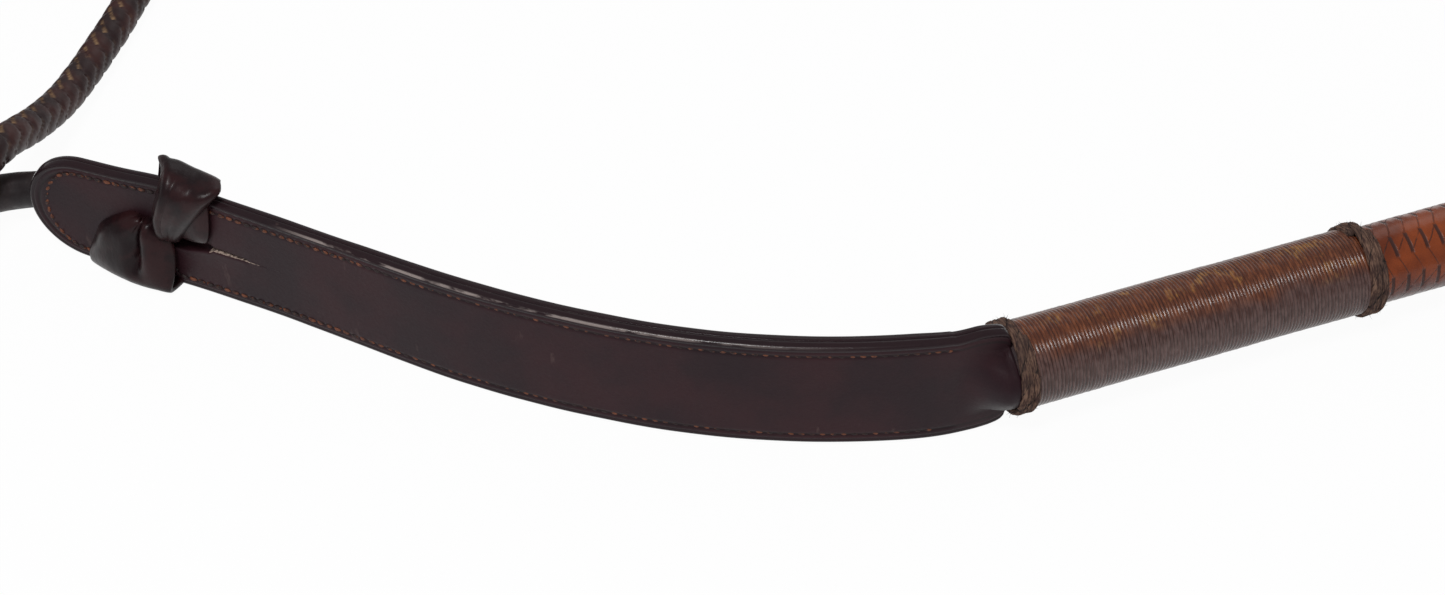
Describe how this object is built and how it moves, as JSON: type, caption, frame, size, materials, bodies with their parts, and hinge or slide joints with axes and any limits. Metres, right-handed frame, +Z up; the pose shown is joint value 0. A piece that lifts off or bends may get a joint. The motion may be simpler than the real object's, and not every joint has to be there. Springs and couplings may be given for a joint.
{
  "type": "hunting whip",
  "caption": "Riding whip with a plaited-leather stock, antler crook, thread whipping, stitched leather keeper and a plaited thong hitched through its slit.",
  "frame": {"origin": "middle of the base of the whip as it lies on a table, its thong left out", "axes": "+X along the stock from the keeper to the handle, +Y to the side that the keeper and the crook bend to, +Z up"},
  "size_m": [0.7577, 0.2981, 0.0264],
  "materials": {
    "cane": "plain split cane",
    "lining_leather": "undyed lining leather",
    "plait_leather": "polished tan plaited leather",
    "waxed_thread": "waxed brown linen thread",
    "twine": "rough waxed twine",
    "keeper_leather": "smooth dark havana leather, burnished edges",
    "stitch_thread": "waxed stitching thread",
    "thong_leather": "oiled dark plaited leather",
    "eye_leather": "soft dark leather",
    "antler": "natural antler, polished on its high places",
    "collar_metal": "satin nickel silver",
    "dowel_steel": "plain steel"
  },
  "bodies": {
    "stock": {"stock_core": "cane", "core_lining": "lining_leather", "stock_plait": "plait_leather", "plait_end_thread": "waxed_thread", "whipping": "waxed_thread", "whipping_ring_front": "twine", "whipping_ring_rear": "twine", "keeper_front_tail": "keeper_leather", "keeper_back_tail": "keeper_leather", "collar": "collar_metal", "handle_dowel": "dowel_steel", "antler_crook": "antler", "crook_stud": "collar_metal"},
    "keeper": {"keeper_front_ply": "keeper_leather", "keeper_back_ply": "keeper_leather", "front_stitching": "stitch_thread", "back_stitching": "stitch_thread", "thong_eye": "eye_leather"},
    "thong": {"thong_neck": "eye_leather", "thong_plait": "thong_leather", "thong_coil": "thong_leather", "coil_tie": "eye_leather", "thong_point_knot": "thong_leather"}
  },
  "joints": [
    {"name": "keeper_flex", "type": "hinge", "parent": "stock", "child": "keeper", "pos_m": [-0.18212, -0.05279, 0.012], "axis": [0, 0, 1], "range_deg": [-20, 25]},
    {"name": "thong_swing", "type": "hinge", "parent": "keeper", "child": "thong", "pos_m": [-0.30732, 0.04611, 0.012], "axis": [0, 0, 1], "range_deg": [-40, 0]}
  ]
}
